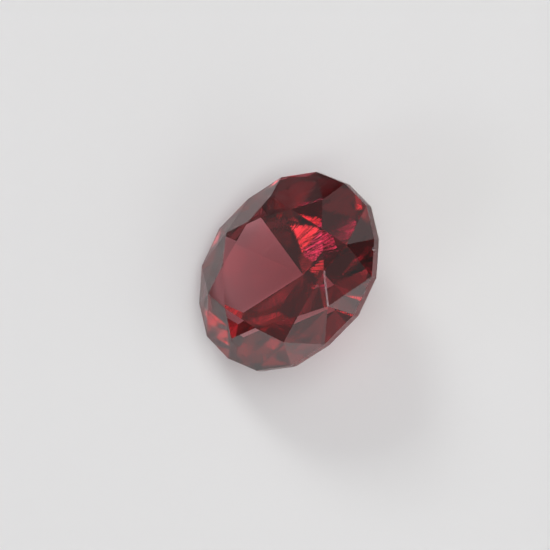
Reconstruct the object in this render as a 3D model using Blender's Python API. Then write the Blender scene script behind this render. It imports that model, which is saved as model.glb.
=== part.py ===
"""An oval cut zircon, 10 mm long, lying on one of the facets around its culet.

Metres, +Z up. The stone is made the way it is cut: a block is ground to the outline of
the girdle, then the pavilion, the crown and the table are ground flat, facet by facet.
While it is cut, X runs along the oval, Y across it and Z out of the table, and the upper
edge of the girdle is at Z = 0. Sixteen corners stand round the girdle, numbered from the
+X end: a kite facet of the crown touches each even corner, and two upper girdle facets
meet at each odd one. When it is finished, the stone is laid down on the floor.
"""

import math

import bmesh
import bpy
from mathutils import Matrix, Vector

MM = 0.001
NAME = "oval_cut_zircon"

LENGTH = 10.0 * MM
WIDTH = 7.98 * MM
CROWN_HEIGHT = 1.02 * MM
GIRDLE_THICKNESS = 0.37 * MM
PAVILION_DEPTH = 3.98 * MM

# Distance of each corner from the stone's axis, from the end of the oval to the middle
# of its side, as a share of an ellipse's: the shoulders are fuller than an ellipse.
GIRDLE_CORNERS = 16
GIRDLE_REACH = (1.0, 0.991, 1.018, 1.021, 1.0)
TABLE_REACH = {0: 0.605, 2: 0.608, 4: 0.650}
STAR_TIP_HEIGHT = 0.71 * CROWN_HEIGHT

# The eight facets that meet at the culet are shallow: the turn round the axis and the angle
# that each one was cut at, in degrees. They are uneven, as a stone cut by hand is. The stone
# lies on one of them.
REST_FACET = (135, 35.4)
CULET_FACETS = (
    (50, 40.3), (71, 39.1), (96, 37.6), REST_FACET, (229, 38.6), (250, 39.1), (284, 38.5), (316, 35.5)
)

# The lower girdle facets and the pavilion kites above them are steep. Under each odd corner
# they meet the culet facets at the break, given as its share of the way to the girdle.
BREAK_REACH = {1: 0.929, 3: 0.921, 5: 0.916, 7: 0.860, 9: 0.937, 11: 0.874, 13: 0.757, 15: 0.757}

NICK_CORNERS = (15, 14)
NICK_PLACE = 0.27
NICK_RADIUS = 0.12 * MM
NICK_DEPTH = 0.045 * MM

BLOCK_MARGIN = 1.2
SAME_PLACE = 0.001 * MM
DOWN = Vector((0, 0, -1))

BODY_COLOUR = (0.55, 0.035, 0.06, 1.0)
POLISH_ROUGHNESS = 0.02
ZIRCON_IOR = 1.96


def share_of_ellipse(reach, corner):
    """The share for a corner, from the values that are given for one quarter of a turn."""
    quarter = GIRDLE_CORNERS // 4
    place = corner % (2 * quarter)
    return reach[min(place, 2 * quarter - place)]


def ring_point(corner, reach, height):
    turn = 2 * math.pi * corner / GIRDLE_CORNERS
    return Vector((LENGTH / 2 * reach * math.cos(turn), WIDTH / 2 * reach * math.sin(turn), height))


def girdle_point(corner, height=0.0):
    return ring_point(corner, share_of_ellipse(GIRDLE_REACH, corner), height)


def table_point(corner):
    return ring_point(corner, share_of_ellipse(TABLE_REACH, corner), CROWN_HEIGHT)


def outward_plane(*points):
    """The plane through three points, as a point and the normal that faces away from the axis."""
    normal = (points[1] - points[0]).cross(points[2] - points[0]).normalized()
    middle = sum(points, Vector()) / 3
    inside = Vector((0, 0, -GIRDLE_THICKNESS / 2))
    if normal.dot(middle - inside) < 0:
        normal.negate()
    return middle, normal


def meeting_point(*planes):
    """The one point that three planes share."""
    normals = Matrix([normal for point, normal in planes])
    offsets = Vector([point.dot(normal) for point, normal in planes])
    return normals.inverted() @ offsets


def kite_plane(corner):
    """A kite leans straight out over its own girdle corner, so it holds the level line there."""
    level = ring_point(corner + 1, 1, 0) - ring_point(corner - 1, 1, 0)
    return outward_plane(girdle_point(corner), table_point(corner), girdle_point(corner) + level)


def star_tip(corner):
    level = (Vector((0, 0, STAR_TIP_HEIGHT)), Vector((0, 0, 1)))
    return meeting_point(kite_plane(corner - 1), kite_plane(corner + 1), level)


def culet_point():
    return Vector((0, 0, -GIRDLE_THICKNESS - PAVILION_DEPTH))


def culet_facet_normal(turn, angle):
    turn = math.radians(turn)
    angle = math.radians(angle)
    across = math.sin(angle)
    return Vector((across * math.cos(turn), across * math.sin(turn), -math.cos(angle)))


def break_point(corner):
    """Under an odd corner, the place on the culet facets where the steep facets end."""
    place = ring_point(corner, BREAK_REACH[corner % GIRDLE_CORNERS], 0)
    heights = []
    for facet in CULET_FACETS:
        normal = culet_facet_normal(*facet)
        heights.append((culet_point() - place).dot(normal) / normal.z)
    place.z = max(heights)
    return place


def girdle_planes():
    for corner in range(GIRDLE_CORNERS):
        low = girdle_point(corner, -GIRDLE_THICKNESS)
        yield outward_plane(girdle_point(corner), girdle_point(corner + 1), low)


def pavilion_planes():
    for corner in range(0, GIRDLE_CORNERS, 2):
        low = girdle_point(corner, -GIRDLE_THICKNESS)
        before, after = break_point(corner - 1), break_point(corner + 1)
        yield outward_plane(low, before, after)
        yield outward_plane(low, girdle_point(corner - 1, -GIRDLE_THICKNESS), before)
        yield outward_plane(low, girdle_point(corner + 1, -GIRDLE_THICKNESS), after)
    for facet in CULET_FACETS:
        yield culet_point(), culet_facet_normal(*facet)


def crown_planes():
    for corner in range(0, GIRDLE_CORNERS, 2):
        yield kite_plane(corner)
    for corner in range(1, GIRDLE_CORNERS, 2):
        tip = star_tip(corner)
        yield outward_plane(tip, girdle_point(corner), girdle_point(corner - 1))
        yield outward_plane(tip, girdle_point(corner), girdle_point(corner + 1))
        yield outward_plane(tip, table_point(corner - 1), table_point(corner + 1))
    yield Vector((0, 0, CROWN_HEIGHT)), Vector((0, 0, 1))


def grind(stone, point, normal):
    """Takes off all that lies outside a plane, and closes the flat facet that this leaves."""
    everything = stone.verts[:] + stone.edges[:] + stone.faces[:]
    bmesh.ops.bisect_plane(
        stone, geom=everything, dist=SAME_PLACE, plane_co=point, plane_no=normal, clear_outer=True
    )
    rim = [edge for edge in stone.edges if edge.is_boundary]
    bmesh.ops.contextual_create(stone, geom=rim)


def cut_stone():
    """The stone with all its facets, still on its own axes."""
    stone = bmesh.new()
    depth = CROWN_HEIGHT + GIRDLE_THICKNESS + PAVILION_DEPTH
    bmesh.ops.create_cube(stone, size=1)
    bmesh.ops.scale(stone, vec=Vector((LENGTH, WIDTH, depth)) * BLOCK_MARGIN, verts=stone.verts)
    bmesh.ops.translate(stone, vec=Vector((0, 0, CROWN_HEIGHT - depth / 2)), verts=stone.verts)
    for planes in (girdle_planes(), pavilion_planes(), crown_planes()):
        for point, normal in planes:
            grind(stone, point, normal)
    bmesh.ops.remove_doubles(stone, verts=stone.verts, dist=SAME_PLACE)
    bmesh.ops.recalc_face_normals(stone, faces=stone.faces)
    return stone


def lying_down(stone):
    """The place of the stone on the floor: on its rest facet, the oval's +X end pointing along +X."""
    turned = culet_facet_normal(*REST_FACET).rotation_difference(DOWN).to_matrix().to_4x4()
    long_axis = turned @ Vector((1, 0, 0))
    turned = Matrix.Rotation(-math.atan2(long_axis.y, long_axis.x), 4, "Z") @ turned
    corners = [turned @ vertex.co for vertex in stone.verts]
    lowest = Vector([min(corner[axis] for corner in corners) for axis in range(3)])
    highest = Vector([max(corner[axis] for corner in corners) for axis in range(3)])
    middle = (lowest + highest) / 2
    return Matrix.Translation((-middle.x, -middle.y, -lowest.z)) @ turned


def zircon_material():
    material = bpy.data.materials.new("zircon")
    material.use_nodes = True
    shader = material.node_tree.nodes["Principled BSDF"]
    shader.inputs["Base Color"].default_value = BODY_COLOUR
    shader.inputs["Roughness"].default_value = POLISH_ROUGHNESS
    shader.inputs["Metallic"].default_value = 0.0
    shader.inputs["IOR"].default_value = ZIRCON_IOR
    shader.inputs["Transmission Weight"].default_value = 1.0
    return material


def new_object(name, form, collection):
    mesh = bpy.data.meshes.new(name)
    form.to_mesh(mesh)
    form.free()
    made = bpy.data.objects.new(name, mesh)
    collection.objects.link(made)
    return made


def nick_cutter(stone_place, collection):
    """A small ball that bites the girdle's upper edge, for the one nick that the stone has."""
    first, second = (girdle_point(corner) for corner in NICK_CORNERS)
    on_edge = first.lerp(second, NICK_PLACE)
    outward = (on_edge.normalized() + Vector((0, 0, 1))).normalized()
    form = bmesh.new()
    bmesh.ops.create_icosphere(form, subdivisions=2, radius=NICK_RADIUS)
    cutter = new_object("nick_cutter", form, collection)
    place = on_edge + outward * (NICK_RADIUS - NICK_DEPTH)
    cutter.matrix_world = stone_place @ Matrix.Translation(place)
    cutter.hide_render = True
    cutter.display_type = "WIRE"
    return cutter


def clear_scene():
    for thing in list(bpy.data.objects):
        bpy.data.objects.remove(thing, do_unlink=True)


def new_collection(name):
    collection = bpy.data.collections.new(name)
    bpy.context.scene.collection.children.link(collection)
    return collection


def main():
    clear_scene()
    form = cut_stone()
    place = lying_down(form)
    stone = new_object("stone", form, new_collection(NAME))
    stone.matrix_world = place
    stone.data.materials.append(zircon_material())
    bite = stone.modifiers.new("nick", "BOOLEAN")
    bite.operation = "DIFFERENCE"
    bite.object = nick_cutter(place, new_collection("cutters"))


main()
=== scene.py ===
"""Looks of the oval cut zircon: a clear, dark red stone lying on a pale studio table.

Metres, +Z up. The photograph looks straight down, with the stone turned on the table.
Directions are given as they lie in the photograph: 0 degrees is its right edge and 90
degrees its top edge.
"""

import math

import bmesh
import bpy
from mathutils import Matrix, Vector

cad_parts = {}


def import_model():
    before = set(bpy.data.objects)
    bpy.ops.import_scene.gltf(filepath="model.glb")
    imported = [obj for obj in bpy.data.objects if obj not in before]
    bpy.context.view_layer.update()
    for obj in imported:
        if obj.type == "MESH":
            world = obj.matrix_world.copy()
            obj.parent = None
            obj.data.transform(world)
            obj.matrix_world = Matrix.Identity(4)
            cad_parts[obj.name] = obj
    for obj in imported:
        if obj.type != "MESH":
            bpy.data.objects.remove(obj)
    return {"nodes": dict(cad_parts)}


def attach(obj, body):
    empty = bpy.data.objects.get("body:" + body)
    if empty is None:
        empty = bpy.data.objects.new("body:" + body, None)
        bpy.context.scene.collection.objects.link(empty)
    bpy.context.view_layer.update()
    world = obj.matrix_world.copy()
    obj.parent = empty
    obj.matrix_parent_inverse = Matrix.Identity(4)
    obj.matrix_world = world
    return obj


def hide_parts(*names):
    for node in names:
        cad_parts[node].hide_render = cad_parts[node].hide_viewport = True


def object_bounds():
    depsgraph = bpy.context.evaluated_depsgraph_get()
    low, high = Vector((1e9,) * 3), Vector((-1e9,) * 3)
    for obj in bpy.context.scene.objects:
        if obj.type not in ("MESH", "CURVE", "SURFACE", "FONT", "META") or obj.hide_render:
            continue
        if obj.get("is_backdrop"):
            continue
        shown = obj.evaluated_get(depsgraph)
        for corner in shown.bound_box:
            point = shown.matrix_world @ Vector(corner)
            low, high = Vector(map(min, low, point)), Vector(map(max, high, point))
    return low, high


MM = 0.001
WHITE = (1.0, 1.0, 1.0, 1.0)
VECTOR = "NodeSocketVector"
NUMBER = "NodeSocketFloat"

# The camera stands right above the table. Its turn is that of the photograph, and the stone's
# middle lies this far right of and above the photograph's.
PHOTO_TURN = math.radians(-39.3)
PHOTO_WIDTH = 24.38 * MM
CAMERA_HEIGHT = 340 * MM
STONE_MIDDLE = 3.1 * MM
STONE_IN_PHOTO = Vector((0.598 * MM, 0.144 * MM))
SENSOR_WIDTH = 36.0
NEAREST_SEEN = 0.01
FARTHEST_SEEN = 10.0

# Clear zircon, the red that a path through it leaves, and how much light its shadow lets by.
ZIRCON_IOR = 1.96
CLEAR_COLOUR = (0.97, 0.95, 0.95, 1.0)
PASSED_COLOUR = (0.79, 0.10, 0.20, 1.0)
ABSORPTION_DENSITY = 400.0
SHADOW_TINT = (0.35, 0.35, 0.35, 1.0)

# How rough the polished facets, worn edges, girdle and nick are, and the grain of the frost:
# grains to a metre, and how far it makes the roughness vary.
DULL = "dull"
POLISH = 0.015
EDGE_FROST = 0.25
GIRDLE_FROST = 0.35
NICK_FROST = 0.55
FROST_SCALE = 9000.0
FROST_DETAIL = 3.0
FROST_VARIES = (0.6, 1.3)

# Crushed zircon, in the nick and along the worst edge, is a pinkish white.
CRUSHED_FROST = 0.5
CRUSHED_DETAIL = 2.0
CRUSHED_PINK = (0.55, 0.40, 0.43, 1.0)
CRUSHED_WHITE = (0.85, 0.74, 0.77, 1.0)
PINK_TO_WHITE = (0.35, 0.65)

# The lap lines on the pavilion: how many there are to a radian of turn, how often one changes
# along a metre of the axis, how much it wavers, and how deep they are.
LAPPED = "lapped"
LINES_TO_A_RADIAN = 40.0
LINE_CHANGES = 120.0
LINE_WAVER = 0.6
LINE_DEPTH = 0.0026 * MM

# A facet that faces square to the axis, within this cosine, is on the girdle. A face whose area
# and longest edge are less than these is in the nick.
GIRDLE_LEAN = 0.1
NICK_FACE = 0.02 * MM * MM
NICK_EDGE = 0.25 * MM

# How wide the worn edges are, and the middle of the one that is worn and crushed the most.
EDGE_WEAR_WIDTH = 0.016 * MM
WORST_EDGE = Vector((0.791, -1.631, 5.945)) * MM
WORST_EDGE_WIDTH = 0.09 * MM
CRUSHED_THICKNESS = 0.004 * MM
SHORTEST_WORN_EDGE = 0.3 * MM
SAME_PLACE = 0.001 * MM
FLAT_ENOUGH = math.radians(0.3)

# Light is thrown to and fro between the facets before it leaves a cut stone.
BOUNCES_IN_THE_STONE = 16

FLOOR_SIZE = 1.6
GAP_UNDER_THE_STONE = 0.05 * MM
LIGHT_DISTANCE = 0.5
SPOT_DISTANCE = 0.42

# Each facet mirrors one direction, so these walls give each facet its own tone. Turn in the
# photograph, height, how wide and high each looks from the stone, all in degrees, and
# brightness.
WALLS = (
    ("front_right_wall", 318, 22, (84, 42), 0.62),
    ("low_left_wall", 222, 6, (30, 18), 0.75),
    ("left_window", 247, 26, (10, 14), 1.05),
    ("left_window_top", 242, 39, (9, 9), 0.60),
    ("left_window_side", 256, 43, (8, 8), 0.24),
    ("front_top", 262, 72, (18, 18), 1.0),
    ("high_left", 195, 76, (12, 12), 0.14),
    ("back_top", 92, 55, (20, 16), 0.46),
    ("back_wall", 106, 30, (34, 32), 0.24),
    ("beside_the_table", 168, 18, (12, 12), 0.16),
    ("right_wall", 30, 30, (70, 50), 0.16),
    ("behind_the_top_kite", 170, 49, (14, 20), 0.19),
    ("behind_the_top_star", 150, 50, (18, 14), 0.10),
    ("behind_the_right_star", 141, 24, (8, 8), 0.07),
    ("over_the_left_side", 190, 52, (10, 10), 0.19),
    ("over_the_left_low", 201, 26, (6, 6), 0.10),
    ("beside_the_slats", 205, 20, (8, 8), 0.45),
    ("behind_the_right_end", 153, 33, (8, 8), 0.14),
)
# Small bright lights make the red flashes inside the stone. The narrow slats make the streaks in
# them, and the cool ones the magenta. Their colour comes last.
WARM = (1.0, 0.86, 0.80)
COOL = (1.0, 0.85, 1.90)
BRIGHT_SPOTS = (
    ("high_slat_1", 181.3, 34, (1.8, 10), 4.8, WARM),
    ("high_slat_2", 185.9, 34, (1.6, 10), 4.8, WARM),
    ("middle_slat_1", 182.0, 23, (1.2, 8), 4.6, COOL),
    ("middle_slat_2", 187.0, 22, (1.8, 8), 4.6, COOL),
    ("low_slat_1", 193.4, 19, (1.4, 6), 3.8, COOL),
    ("low_slat_2", 195.8, 19, (1.4, 6), 3.8, COOL),
    ("low_slat_3", 198.2, 18, (1.4, 6), 3.8, COOL),
    ("left_lowest", 206, 9, (8, 6), 2.2, WARM),
    ("right_low", 357, 5, (12, 10), 2.6, WARM),
    ("right_high", 351, 39, (9, 9), 2.2, WARM),
    ("right_top", 348, 71, (6, 6), 1.8, WARM),
    ("front_high", 309, 39, (8, 8), 1.8, WARM),
    ("front_middle", 296, 51, (12, 8), 2.4, WARM),
    ("front_low", 298, 9, (8, 7), 2.4, WARM),
    ("back_left", 129, 29, (6, 6), 1.5, WARM),
    ("back_right", 69, 57, (8, 8), 1.2, WARM),
    ("front_top_spot", 291, 75, (7, 5), 0.7, WARM),
    ("small_top_spot", 249, 76, (4, 4), 6.0, WARM),
)
# These light the table alone and give the stone its shadows.
TABLE_LAMPS = (
    ("key", 114, 38, (16, 16), 10.2),
    ("left_fill", 214, 40, (16, 16), 3.3),
    ("right_fill", -27, 40, (20, 20), 1.2),
    ("overhead", 30, 78, (40, 40), 2.6),
)
# The stone gathers light and throws it on the table: a lamp makes a pink patch beside it, and a
# painted glow, given off by the table itself, stands for the light beneath it and is seen only through
# the stone. Places are from the stone's middle in the photograph. The painted glow is even up to the
# first of its two distances, and has faded at the second.
PATCH_PLACE = Vector((2.4 * MM, -3.0 * MM))
PATCH_HEIGHT = 2.6 * MM
PATCH_WIDTH = 1.2 * MM
PATCH_BRIGHTNESS = 1.2
PATCH_COLOUR = (1.0, 0.35, 0.38)
PAINTED_GLOW_PLACE = Vector((0.15 * MM, -0.2 * MM))
PAINTED_GLOW_END = (1.9 * MM, 2.6 * MM)
PAINTED_GLOW_COLOUR = (0.96, 1.0, 1.0, 1.0)
PAINTED_GLOW_BRIGHTNESS = 0.24
ROOM_BRIGHTNESS = 0.09
BACKDROP_BRIGHTNESS = 0.75

# Past the sheet that the stone lies on, the table's colour is darkened with painted shade, which the back
# facets mirror.
SHEET_END_TURN = 140.0
SHEET_END = (7.2 * MM, 8.8 * MM)
SHEET_COLOUR = (0.795, 0.80, 0.80, 1.0)
SHEET_ROUGHNESS = 0.9
SHEET_SPECULAR = 0.1
PAINTED_SHADE_COLOUR = (0.216, 0.216, 0.216, 1.0)


def photo_direction(turn, height):
    """The direction of a place round the stone, from its turn in the photograph and its height."""
    turn = math.radians(turn) + PHOTO_TURN
    height = math.radians(height)
    level = math.cos(height)
    return Vector((math.cos(turn) * level, math.sin(turn) * level, math.sin(height)))


def table_place(place, height=0.0):
    """A place over the table, from where it lies in the photograph."""
    turned = Matrix.Rotation(PHOTO_TURN, 2) @ place
    return Vector((turned.x, turned.y, height))


def new_material(name):
    material = bpy.data.materials.new(name)
    material.use_nodes = True
    tree = material.node_tree
    tree.nodes.clear()
    return material, tree


def add_node(tree, kind, name="", **values):
    """Adds a node. A value in small letters is the node's own, and any other is a socket's."""
    node = tree.nodes.new(kind)
    node.name = node.label = name or node.name
    for key, value in values.items():
        if key.islower():
            setattr(node, key, value)
        else:
            node.inputs[key.replace("_", " ")].default_value = value
    return node


def product(tree, name, first, second):
    node = add_node(tree, "ShaderNodeMath", name, operation="MULTIPLY")
    tree.links.new(first, node.inputs[0])
    tree.links.new(second, node.inputs[1])
    return node.outputs["Value"]


def new_group(name, inputs, output):
    """A node group with its named inputs and output, and the two nodes that hold them."""
    group = bpy.data.node_groups.new(name, "ShaderNodeTree")
    for socket, kind in inputs.items():
        group.interface.new_socket(socket, in_out="INPUT", socket_type=kind)
    group.interface.new_socket(output, in_out="OUTPUT", socket_type=NUMBER)
    return group, add_node(group, "NodeGroupInput"), add_node(group, "NodeGroupOutput")


def frost_grain():
    """The fine grain of frosted and of crushed zircon."""
    inputs = {"Place": VECTOR, "Grains To A Metre": NUMBER, "Detail": NUMBER}
    group, inside, outside = new_group("Frost Grain", inputs, "Grain")
    grain = add_node(group, "ShaderNodeTexNoise", "grain")
    group.links.new(inside.outputs["Place"], grain.inputs["Vector"])
    group.links.new(inside.outputs["Grains To A Metre"], grain.inputs["Scale"])
    group.links.new(inside.outputs["Detail"], grain.inputs["Detail"])
    group.links.new(grain.outputs["Fac"], outside.inputs["Grain"])
    return group


def lapping_lines():
    """Fine lines that the polishing lap leaves, fanning out from the culet."""
    inputs = {"Place": VECTOR, "Lines To A Radian": NUMBER, "Changes": NUMBER, "Waver": NUMBER}
    group, inside, outside = new_group("Lapping Lines", inputs, "Height")
    split = add_node(group, "ShaderNodeSeparateXYZ")
    turn = add_node(group, "ShaderNodeMath", "turn round the axis", operation="ARCTAN2")
    place = add_node(group, "ShaderNodeCombineXYZ", "line and place along it")
    lines = add_node(group, "ShaderNodeTexNoise", "lap lines", Scale=1.0)
    group.links.new(inside.outputs["Place"], split.inputs["Vector"])
    group.links.new(split.outputs["Y"], turn.inputs[0])
    group.links.new(split.outputs["X"], turn.inputs[1])
    line = product(group, "which line", turn.outputs["Value"], inside.outputs["Lines To A Radian"])
    along = product(group, "place along it", split.outputs["Z"], inside.outputs["Changes"])
    group.links.new(line, place.inputs["X"])
    group.links.new(along, place.inputs["Y"])
    group.links.new(place.outputs["Vector"], lines.inputs["Vector"])
    group.links.new(inside.outputs["Waver"], lines.inputs["Detail"])
    group.links.new(lines.outputs["Fac"], outside.inputs["Height"])
    return group


def uneven_frost(tree, place, grain_group):
    """How rough each face is, varied by the grain."""
    dull = add_node(tree, "ShaderNodeAttribute", "how dull a face is", attribute_name=DULL)
    grain = add_node(
        tree, "ShaderNodeGroup", "frost grain", node_tree=grain_group,
        Grains_To_A_Metre=FROST_SCALE, Detail=FROST_DETAIL,
    )
    least, most = FROST_VARIES
    uneven = add_node(tree, "ShaderNodeMapRange", "uneven frost", To_Min=least, To_Max=most)
    tree.links.new(place, grain.inputs["Place"])
    tree.links.new(grain.outputs["Grain"], uneven.inputs["Value"])
    return product(tree, "frost", dull.outputs["Fac"], uneven.outputs["Result"])


def lap_relief(tree, place, axis):
    """The lap lines as relief, on the pavilion alone."""
    along_axis = axis.to_track_quat("Z", "Y").to_euler()
    own = add_node(
        tree, "ShaderNodeMapping", "along the stone's axis", vector_type="TEXTURE", Rotation=along_axis
    )
    lap = add_node(
        tree, "ShaderNodeGroup", "lapping lines", node_tree=lapping_lines(),
        Lines_To_A_Radian=LINES_TO_A_RADIAN, Changes=LINE_CHANGES, Waver=LINE_WAVER,
    )
    back = add_node(tree, "ShaderNodeAttribute", "where the lap lines show", attribute_name=LAPPED)
    relief = add_node(tree, "ShaderNodeBump", "lap relief", Strength=1.0, Distance=LINE_DEPTH)
    tree.links.new(place, own.inputs["Vector"])
    tree.links.new(own.outputs["Vector"], lap.inputs["Place"])
    shown = product(tree, "lines on the pavilion", lap.outputs["Height"], back.outputs["Fac"])
    tree.links.new(shown, relief.inputs["Height"])
    return relief.outputs["Normal"]


def zircon(axis, grain_group):
    """Clear zircon: polished facets, a frosted girdle, and edges that wear has dulled."""
    material, tree = new_material("zircon")
    links = tree.links
    out = add_node(tree, "ShaderNodeOutputMaterial")
    stone = add_node(
        tree, "ShaderNodeBsdfPrincipled", "polished zircon", Base_Color=CLEAR_COLOUR,
        Metallic=0.0, IOR=ZIRCON_IOR, Transmission_Weight=1.0,
    )
    place = add_node(tree, "ShaderNodeTexCoord").outputs["Object"]
    links.new(uneven_frost(tree, place, grain_group), stone.inputs["Roughness"])
    links.new(lap_relief(tree, place, axis), stone.inputs["Normal"])

    inside = add_node(
        tree, "ShaderNodeVolumeAbsorption", "red body", Color=PASSED_COLOUR, Density=ABSORPTION_DENSITY
    )
    passed = add_node(tree, "ShaderNodeBsdfTransparent", "light that crosses the stone", Color=SHADOW_TINT)
    ray = add_node(tree, "ShaderNodeLightPath")
    split = add_node(tree, "ShaderNodeMixShader", "light on the table")
    links.new(ray.outputs["Is Shadow Ray"], split.inputs["Fac"])
    links.new(stone.outputs["BSDF"], split.inputs[1])
    links.new(passed.outputs["BSDF"], split.inputs[2])
    links.new(split.outputs["Shader"], out.inputs["Surface"])
    links.new(inside.outputs["Volume"], out.inputs["Volume"])
    return material


def bruised_zircon(grain_group):
    """Where knocks have crushed an edge, the stone is a pinkish white."""
    material, tree = new_material("bruised zircon")
    out = add_node(tree, "ShaderNodeOutputMaterial")
    frost = add_node(
        tree, "ShaderNodeBsdfPrincipled", "crushed edge", Roughness=CRUSHED_FROST, IOR=ZIRCON_IOR
    )
    place = add_node(tree, "ShaderNodeTexCoord")
    grain = add_node(
        tree, "ShaderNodeGroup", "crushed grain", node_tree=grain_group,
        Grains_To_A_Metre=FROST_SCALE, Detail=CRUSHED_DETAIL,
    )
    shade = add_node(tree, "ShaderNodeValToRGB", "pink to white")
    steps = zip(shade.color_ramp.elements, PINK_TO_WHITE, (CRUSHED_PINK, CRUSHED_WHITE))
    for step, position, colour in steps:
        step.position = position
        step.color = colour
    tree.links.new(place.outputs["Object"], grain.inputs["Place"])
    tree.links.new(grain.outputs["Grain"], shade.inputs["Fac"])
    tree.links.new(shade.outputs["Color"], frost.inputs["Base Color"])
    tree.links.new(frost.outputs["BSDF"], out.inputs["Surface"])
    return material


def whole_facets(node):
    """The stone's mesh with each flat facet as one face."""
    form = bmesh.new()
    corners = [form.verts.new(vertex.co) for vertex in node.data.vertices]
    for face in node.data.polygons:
        form.faces.new([corners[index] for index in face.vertices])
    form.normal_update()
    bmesh.ops.remove_doubles(form, verts=form.verts, dist=SAME_PLACE)
    bmesh.ops.dissolve_limit(form, angle_limit=FLAT_ENOUGH, verts=form.verts, edges=form.edges)
    return form


def middle_of(edge):
    return (edge.verts[0].co + edge.verts[1].co) / 2


def in_the_nick(facet):
    return facet.calc_area() < NICK_FACE and max(edge.calc_length() for edge in facet.edges) < NICK_EDGE


def grade_faces(form, axis):
    """Marks how dull each facet is, and on which ones the lap lines show."""
    dull = form.faces.layers.float.new(DULL)
    lapped = form.faces.layers.float.new(LAPPED)
    for facet in form.faces:
        lean = facet.normal.dot(axis)
        on_girdle = abs(lean) < GIRDLE_LEAN
        facet[dull] = GIRDLE_FROST if on_girdle else POLISH
        if in_the_nick(facet):
            facet[dull] = NICK_FROST
        facet[lapped] = 1.0 if lean < -GIRDLE_LEAN else 0.0


def wear_edges(form, edges, width):
    """Grinds edges down to narrow dull strips, and returns the strips."""
    dull = form.faces.layers.float[DULL]
    made = bmesh.ops.bevel(
        form, geom=edges, offset=width / 2, offset_type="OFFSET",
        segments=1, affect="EDGES", clamp_overlap=True,
    )
    for strip in made["faces"]:
        strip[dull] = EDGE_FROST
    return made["faces"]


def new_piece(name, form, material):
    mesh = bpy.data.meshes.new(name)
    form.to_mesh(mesh)
    form.free()
    piece = bpy.data.objects.new(name, mesh)
    bpy.context.collection.objects.link(piece)
    mesh.materials.append(material)
    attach(piece, "root")
    return piece


def make_stone(node):
    form = whole_facets(node)
    table = max(form.faces, key=lambda facet: facet.calc_area())
    axis = table.normal.copy()
    grade_faces(form, axis)
    worst = min(form.edges, key=lambda edge: (middle_of(edge) - WORST_EDGE).length)
    strips = wear_edges(form, [worst], WORST_EDGE_WIDTH)
    chips = [facet for facet in form.faces if in_the_nick(facet) and facet not in strips]
    sharp = [edge for edge in form.edges if edge.calc_length() > SHORTEST_WORN_EDGE and edge.is_convex]
    sharp = [edge for edge in sharp if not any(face in strips for face in edge.link_faces)]
    crushed = [[vertex.co.copy() for vertex in face.verts] for face in strips + chips]
    wear_edges(form, sharp, EDGE_WEAR_WIDTH)
    grain_group = frost_grain()
    stone = new_piece("zircon_stone", form, zircon(axis, grain_group))
    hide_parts("stone")
    make_crushed_edge(crushed, grain_group)


def make_crushed_edge(faces, grain_group):
    """A skin on the worst edge and in the nick.

    Its faces have no normals yet when it is made solid, so the thickness has no effect: both
    sides of the skin lie on the stone's own faces.
    """
    skin = bmesh.new()
    for corners in faces:
        skin.faces.new([skin.verts.new(corner) for corner in corners])
    bmesh.ops.solidify(skin, geom=skin.faces[:], thickness=-CRUSHED_THICKNESS)
    bmesh.ops.recalc_face_normals(skin, faces=skin.faces)
    new_piece("crushed_edge", skin, bruised_zircon(grain_group))


def sheet_and_painted_shade(tree, place, ray):
    """The sheet's colour, with painted shade past its end, where the stone mirrors it."""
    along = add_node(tree, "ShaderNodeVectorMath", "way to the sheet's end", operation="DOT_PRODUCT")
    along.inputs[1].default_value = photo_direction(SHEET_END_TURN, 0)
    start, end = SHEET_END
    past = add_node(tree, "ShaderNodeMapRange", "past the sheet", From_Min=start, From_Max=end)
    shade = add_node(
        tree, "ShaderNodeMix", "sheet and painted shade", data_type="RGBA", A=SHEET_COLOUR, B=PAINTED_SHADE_COLOUR
    )
    tree.links.new(place.outputs["Object"], along.inputs[0])
    tree.links.new(along.outputs["Value"], past.inputs["Value"])
    # The painted shade shows only in rays that the stone mirrors.
    mirrored = ray.outputs["Is Glossy Ray"]
    dim = product(tree, "only as the stone mirrors it", past.outputs["Result"], mirrored)
    tree.links.new(dim, shade.inputs["Factor"])
    return shade.outputs["Result"]


def painted_glow_under_the_stone(tree, place, ray):
    """How strongly the table's painted glow shines, as it is seen through the stone."""
    away = add_node(tree, "ShaderNodeVectorMath", "distance from the painted glow", operation="DISTANCE")
    away.inputs[1].default_value = table_place(PAINTED_GLOW_PLACE)
    even, faded = PAINTED_GLOW_END
    glow = add_node(
        tree, "ShaderNodeMapRange", "painted glow under the stone", interpolation_type="SMOOTHSTEP",
        From_Min=even, From_Max=faded, To_Min=PAINTED_GLOW_BRIGHTNESS, To_Max=0.0,
    )
    tree.links.new(place.outputs["Object"], away.inputs[0])
    tree.links.new(away.outputs["Value"], glow.inputs["Value"])
    through = ray.outputs["Is Transmission Ray"]
    return product(tree, "only through the stone", glow.outputs["Result"], through)


def matt_white():
    material, tree = new_material("pale table")
    out = add_node(tree, "ShaderNodeOutputMaterial")
    # The paper's emission is a painted glow under the stone, seen only through the stone.
    paper = add_node(
        tree, "ShaderNodeBsdfPrincipled", "matt white", Roughness=SHEET_ROUGHNESS,
        Specular_IOR_Level=SHEET_SPECULAR, Emission_Color=PAINTED_GLOW_COLOUR,
    )
    place = add_node(tree, "ShaderNodeTexCoord")
    ray = add_node(tree, "ShaderNodeLightPath")
    tree.links.new(sheet_and_painted_shade(tree, place, ray), paper.inputs["Base Color"])
    tree.links.new(painted_glow_under_the_stone(tree, place, ray), paper.inputs["Emission Strength"])
    tree.links.new(paper.outputs["BSDF"], out.inputs["Surface"])
    return material


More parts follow.
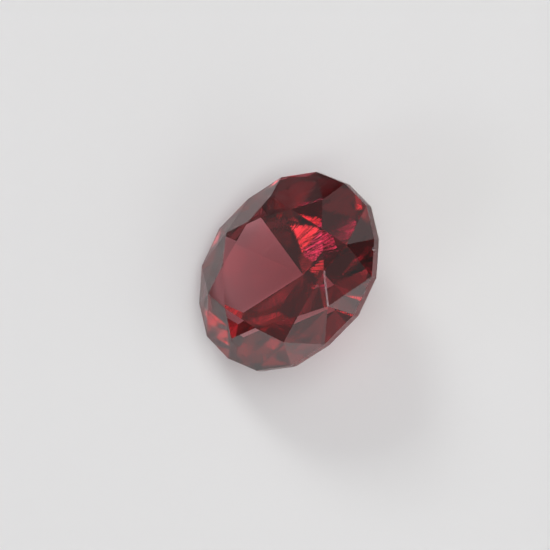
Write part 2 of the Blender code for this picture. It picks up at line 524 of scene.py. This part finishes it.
def make_floor():
    bpy.ops.mesh.primitive_plane_add(size=FLOOR_SIZE)
    floor = bpy.context.object
    floor.name = "pale_table"
    floor.location.z = -GAP_UNDER_THE_STONE
    floor.data.materials.append(matt_white())
    floor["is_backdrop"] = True


def hang_lamp(name, light):
    lamp = bpy.data.objects.new(name, light)
    lamp.visible_camera = False
    bpy.context.collection.objects.link(lamp)
    return lamp


def light_the_table_alone(lamp):
    lamp.visible_glossy = False
    lamp.visible_transmission = False


def softbox(name, turn, height, size, brightness, distance=LIGHT_DISTANCE):
    """A lit sheet that faces the stone. White paper in the photograph has a brightness of 0.73."""
    light = bpy.data.lights.new(name, "AREA")
    light.shape = "RECTANGLE"
    light.size = 2 * distance * math.tan(math.radians(size[0] / 2))
    light.size_y = 2 * distance * math.tan(math.radians(size[1] / 2))
    light.energy = brightness * math.pi * light.size * light.size_y
    lamp = hang_lamp(name, light)
    away = photo_direction(turn, height)
    lamp.location = away * distance
    lamp.rotation_mode = "QUATERNION"
    lamp.rotation_quaternion = away.to_track_quat("Z", "Y")
    return lamp


def pink_patch():
    """The light that leaves the stone at its side and falls on the table."""
    light = bpy.data.lights.new("pink_patch", "AREA")
    light.shape = "DISK"
    light.size = PATCH_WIDTH
    light.energy = PATCH_BRIGHTNESS * math.pi * math.pi / 4 * PATCH_WIDTH ** 2
    light.color = PATCH_COLOUR
    lamp = hang_lamp("pink_patch", light)
    lamp.location = table_place(PATCH_PLACE, PATCH_HEIGHT)
    light_the_table_alone(lamp)


def dim_room():
    """A dim room for the stone to mirror, behind a pale backdrop for the camera."""
    world = bpy.data.worlds.new("studio")
    bpy.context.scene.world = world
    world.use_nodes = True
    tree = world.node_tree
    room = tree.nodes["Background"]
    room.inputs["Color"].default_value = WHITE
    ray = add_node(tree, "ShaderNodeLightPath")
    shade = add_node(
        tree, "ShaderNodeMapRange", "room or backdrop", To_Min=ROOM_BRIGHTNESS, To_Max=BACKDROP_BRIGHTNESS
    )
    tree.links.new(ray.outputs["Is Camera Ray"], shade.inputs["Value"])
    tree.links.new(shade.outputs["Result"], room.inputs["Strength"])


def light_the_stone():
    for name, turn, height, size, brightness in WALLS:
        softbox(name, turn, height, size, brightness)
    for name, turn, height, size, brightness, colour in BRIGHT_SPOTS:
        lamp = softbox(name, turn, height, size, brightness, distance=SPOT_DISTANCE)
        lamp.data.color = colour
    for name, turn, height, size, brightness in TABLE_LAMPS:
        light_the_table_alone(softbox(name, turn, height, size, brightness))
    pink_patch()
    dim_room()


def make_camera():
    camera = bpy.data.cameras.new("camera")
    camera.sensor_width = SENSOR_WIDTH
    camera.lens = SENSOR_WIDTH * CAMERA_HEIGHT / PHOTO_WIDTH
    camera.clip_start = NEAREST_SEEN
    camera.clip_end = FARTHEST_SEEN
    stand = bpy.data.objects.new("camera", camera)
    bpy.context.collection.objects.link(stand)
    stand.location = table_place(-STONE_IN_PHOTO, STONE_MIDDLE + CAMERA_HEIGHT)
    stand.rotation_euler = (0, 0, PHOTO_TURN)
    bpy.context.scene.camera = stand


def set_the_renderer():
    """Plain colours, and enough bounces for the light inside the stone."""
    scene = bpy.context.scene
    scene.view_settings.view_transform = "Standard"
    scene.cycles.max_bounces = BOUNCES_IN_THE_STONE
    scene.cycles.glossy_bounces = BOUNCES_IN_THE_STONE
    scene.cycles.transmission_bounces = BOUNCES_IN_THE_STONE


def main():
    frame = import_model()
    cad_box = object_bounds()
    make_stone(frame["nodes"]["stone"])
    make_floor()
    light_the_stone()
    make_camera()
    set_the_renderer()
    sizes = {"cad_box": cad_box, "visual_box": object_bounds()}
    sizes = {name: [list(corner) for corner in box] for name, box in sizes.items()}


main()
